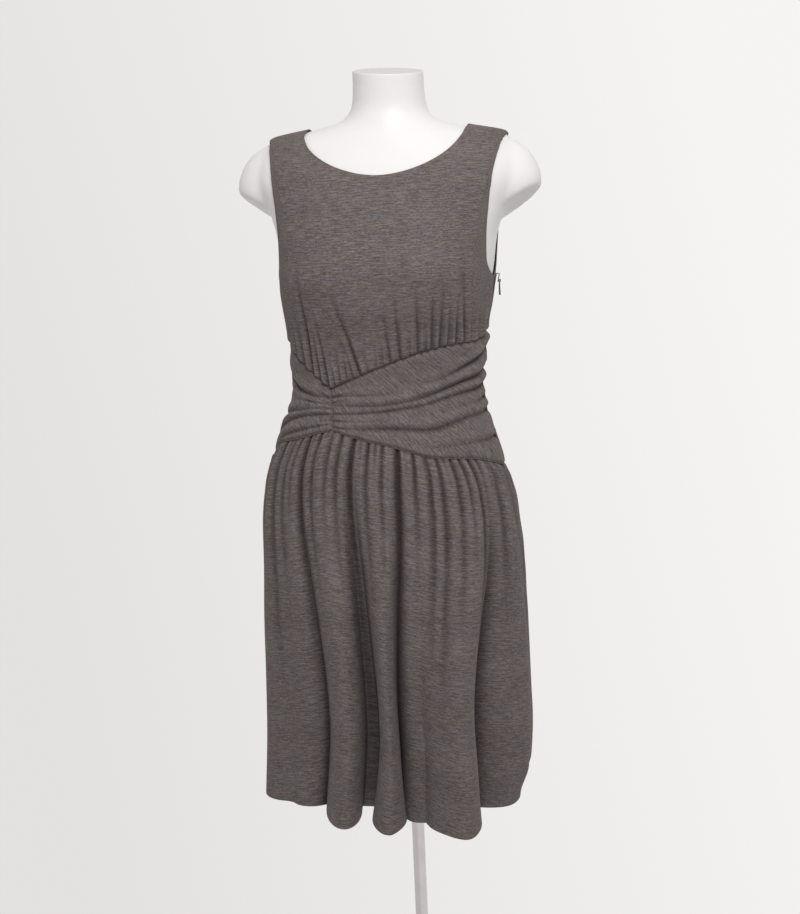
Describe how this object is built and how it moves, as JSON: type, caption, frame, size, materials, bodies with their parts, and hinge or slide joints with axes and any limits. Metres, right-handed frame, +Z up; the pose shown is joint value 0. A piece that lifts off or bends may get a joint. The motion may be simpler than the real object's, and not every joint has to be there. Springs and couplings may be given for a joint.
{
  "type": "sweater dress on dress form",
  "caption": "Sleeveless gathered knit dress with a crossover draped midriff band, standing on a limbless dress form with a pole and round base.",
  "frame": {"origin": "centre of the round base plate's underside, on the axis of the pole", "axes": "+Z up along the pole; -Y is the front of the dress; +X is the wearer's left, the viewer's right"},
  "size_m": [0.4128, 0.3684, 1.493],
  "materials": {
    "knit": "fine jersey knit, grey-brown melange, matt",
    "zip_tape": "woven zip tape with closed coil",
    "zip_metal": "dark enamel, satin",
    "form_shell": "white moulded shell, satin",
    "chrome": "polished",
    "base": "pale powder coat, satin"
  },
  "bodies": {
    "dress_on_form": {"bodice_front": "knit", "bodice_back": "knit", "band_front_right": "knit", "band_front_left": "knit", "band_back": "knit", "skirt_front": "knit", "skirt_back": "knit", "zip_chain": "zip_tape", "zip_slider": "zip_metal", "form_torso": "form_shell", "form_socket": "chrome", "pole": "chrome", "base_collar": "chrome", "base_plate": "base"},
    "pull_tab": {"zip_pull": "zip_metal"}
  },
  "joints": [
    {"name": "pull_hinge", "type": "hinge", "parent": "dress_on_form", "child": "pull_tab", "pos_m": [0.14511, -0.00331, 1.19677], "axis": [0, -1, 0], "range_deg": [0, 150]}
  ]
}
